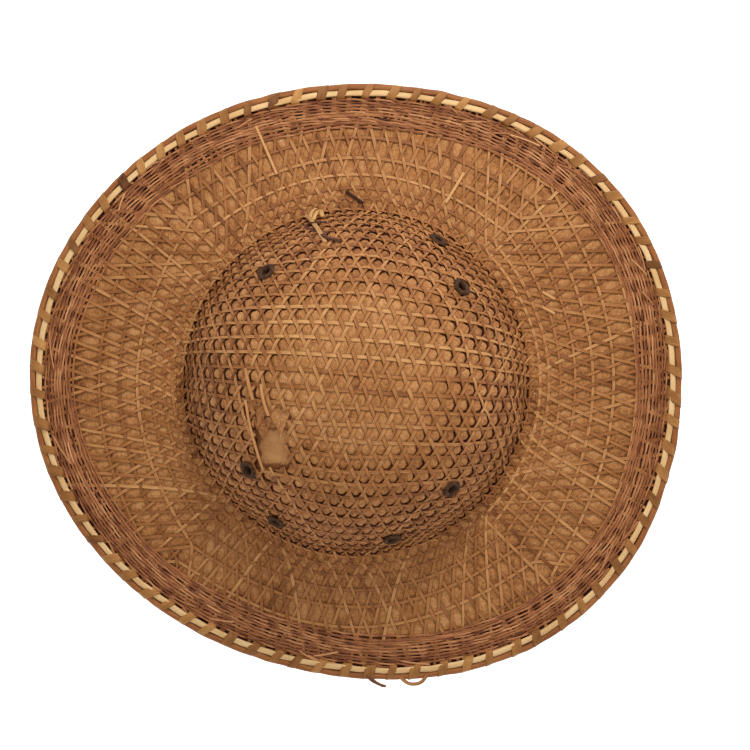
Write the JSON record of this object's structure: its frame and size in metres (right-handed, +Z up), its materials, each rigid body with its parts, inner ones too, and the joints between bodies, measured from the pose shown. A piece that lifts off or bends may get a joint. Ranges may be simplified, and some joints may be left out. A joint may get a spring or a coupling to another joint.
{
  "type": "woven bamboo sun hat",
  "caption": "Domed sun hat with a wide oval brim: open bamboo weave over leaf and paper, twined border, cane-lashed hoop rim and an inner head ring.",
  "frame": {"origin": "on the surface the rim rests on, under the middle of the hat's outline", "axes": "+Z up through the crown, +X along the brim's long way, +Y along its short way"},
  "size_m": [0.4294, 0.3964, 0.1216],
  "materials": {
    "splint": "aged split bamboo, satin, grooved lengthwise",
    "lining_splint": "split bamboo, matt",
    "leaf": "dried bamboo leaf, papery, lightly creased",
    "paper": "aged oiled paper",
    "pale_hoop": "pale split bamboo, satin",
    "brown_hoop": "brown split bamboo, satin",
    "lashing": "flat cane, worn",
    "border": "fine twined splints, satin",
    "eyelet_metal": "tarnished dark brown"
  },
  "bodies": {
    "root": {"crown_strips_level": "splint", "crown_strips_rising": "splint", "crown_strips_falling": "splint", "brim_strips_clockwise": "splint", "brim_strips_counter": "splint", "brim_hoop_strips": "splint", "lining_strips_level": "lining_splint", "lining_strips_rising": "lining_splint", "lining_strips_falling": "lining_splint", "crown_leaf_top": "leaf", "crown_leaf_shoulder": "leaf", "crown_leaf_wall": "leaf", "crown_paper": "paper", "brim_leaf": "leaf", "brim_paper": "paper", "rim_top_hoop": "pale_hoop", "rim_outer_hoop": "brown_hoop", "rim_under_hoop": "brown_hoop", "rim_lashing": "lashing", "border_rows_outside": "border", "border_rows_inside": "border", "lashing_tail": "lashing", "lashing_loop": "pale_hoop", "eyelets": "eyelet_metal", "eyelet_washers": "eyelet_metal", "cane_tie": "pale_hoop", "torn_leaf_flap": "leaf", "broken_splints": "splint", "head_ring": "lining_splint", "head_ring_upper_binding": "pale_hoop", "head_ring_lower_binding": "pale_hoop", "head_ring_ties": "lashing"}
  },
  "joints": []
}
